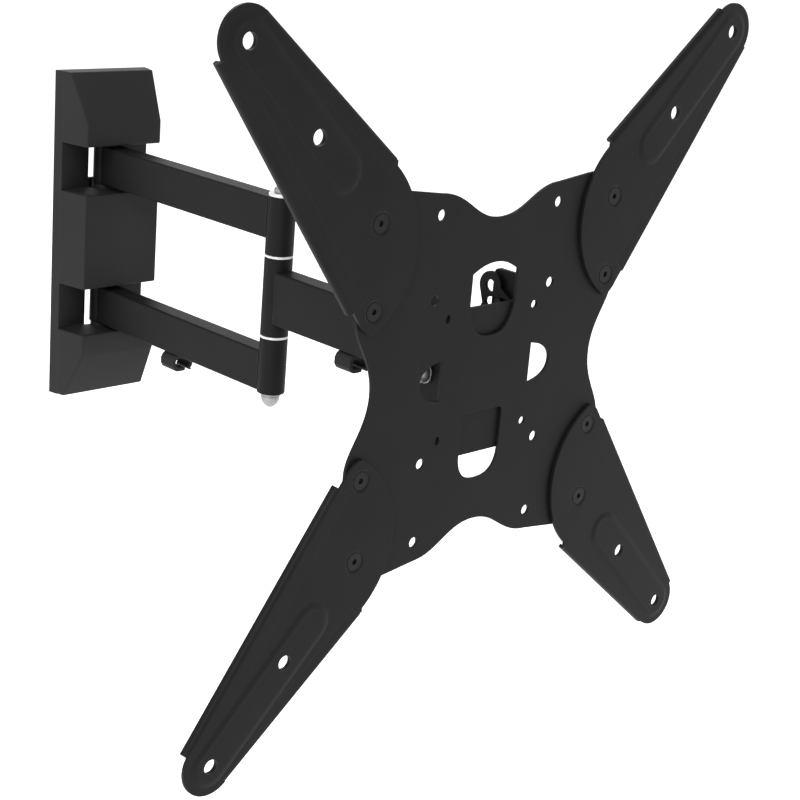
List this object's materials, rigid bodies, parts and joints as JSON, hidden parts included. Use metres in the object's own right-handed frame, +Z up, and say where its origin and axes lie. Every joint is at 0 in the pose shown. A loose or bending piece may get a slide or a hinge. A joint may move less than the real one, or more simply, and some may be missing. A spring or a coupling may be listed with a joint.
{
  "type": "full motion wall mount",
  "caption": "Articulated wall mount for a flat screen: wall bracket, twin-tube arm, single-tube arm, swivel and tilt head, and a hole-patterned plate with long corner arms.",
  "frame": {"origin": "centre of the wall plate's back face, on the wall", "axes": "+Y into the wall, +Z up, +X to the right for someone facing the screen"},
  "size_m": [0.4364, 0.414, 0.4364],
  "materials": {
    "black_powder_coat": "satin fine-textured powder coat",
    "black_plastic": "fine-grained matt",
    "zinc_steel": "zinc plated, satin",
    "black_steel": "black oxide, slightly glossy",
    "nylon": "smooth nylon"
  },
  "bodies": {
    "wall_bracket": {"wall_plate": "black_powder_coat", "wall_base": "black_plastic", "top_cover": "black_plastic", "middle_cover": "black_plastic", "bottom_cover": "black_plastic", "upper_pivot_ear_outer": "black_powder_coat", "upper_pivot_ear_inner": "black_powder_coat", "lower_pivot_ear_outer": "black_powder_coat", "lower_pivot_ear_inner": "black_powder_coat", "upper_pivot_pin": "black_steel", "lower_pivot_pin": "black_steel", "upper_pivot_bush_outer": "black_plastic", "upper_pivot_bush_inner": "black_plastic", "lower_pivot_bush_outer": "black_plastic", "lower_pivot_bush_inner": "black_plastic"},
    "first_arm": {"upper_arm_tube": "black_powder_coat", "lower_arm_tube": "black_powder_coat", "upper_wall_knuckle": "black_powder_coat", "lower_wall_knuckle": "black_powder_coat", "upper_elbow_tube": "black_powder_coat", "lower_elbow_tube": "black_powder_coat", "upper_elbow_spacer": "nylon", "lower_elbow_spacer": "nylon", "elbow_top_washer": "nylon", "elbow_bolt": "zinc_steel", "elbow_cap_nut": "zinc_steel", "outer_cable_clip": "black_plastic"},
    "second_arm": {"inner_arm_tube": "black_powder_coat", "elbow_middle_tube": "black_powder_coat", "head_knuckle": "black_powder_coat", "inner_cable_clip": "black_plastic"},
    "swivel_head": {"head_channel": "black_powder_coat", "head_ear_right": "black_powder_coat", "head_ear_left": "black_powder_coat", "head_top_washer": "nylon", "head_bolt": "zinc_steel", "head_cap_nut": "zinc_steel"},
    "screen_plate": {"tilt_web": "black_powder_coat", "tilt_ear_right": "black_powder_coat", "tilt_ear_left": "black_powder_coat", "centre_plate": "black_powder_coat", "extension_arm_top_right": "black_powder_coat", "arm_screw_outer_top_right": "black_steel", "arm_screw_inner_top_right": "black_steel", "extension_arm_top_left": "black_powder_coat", "arm_screw_outer_top_left": "black_steel", "arm_screw_inner_top_left": "black_steel", "extension_arm_bottom_right": "black_powder_coat", "arm_screw_outer_bottom_right": "black_steel", "arm_screw_inner_bottom_right": "black_steel", "extension_arm_bottom_left": "black_powder_coat", "arm_screw_outer_bottom_left": "black_steel", "arm_screw_inner_bottom_left": "black_steel", "tilt_bolt": "zinc_steel", "tilt_nut": "zinc_steel", "guide_screw_right": "black_steel", "guide_screw_left": "black_steel"}
  },
  "joints": [
    {"name": "wall_swivel", "type": "hinge", "parent": "wall_bracket", "child": "first_arm", "pos_m": [0, -0.0093, 0], "axis": [0, 0, 1], "range_deg": [-76, 76]},
    {"name": "elbow_swivel", "type": "hinge", "parent": "first_arm", "child": "second_arm", "pos_m": [0, -0.2134, 0], "axis": [0, 0, 1], "range_deg": [-90, 90]},
    {"name": "head_swivel", "type": "hinge", "parent": "second_arm", "child": "swivel_head", "pos_m": [0, -0.359, 0], "axis": [0, 0, 1], "range_deg": [-90, 90]},
    {"name": "tilt", "type": "hinge", "parent": "swivel_head", "child": "screen_plate", "pos_m": [0, -0.3915, 0], "axis": [1, 0, 0], "range_deg": [-5, 15]}
  ]
}
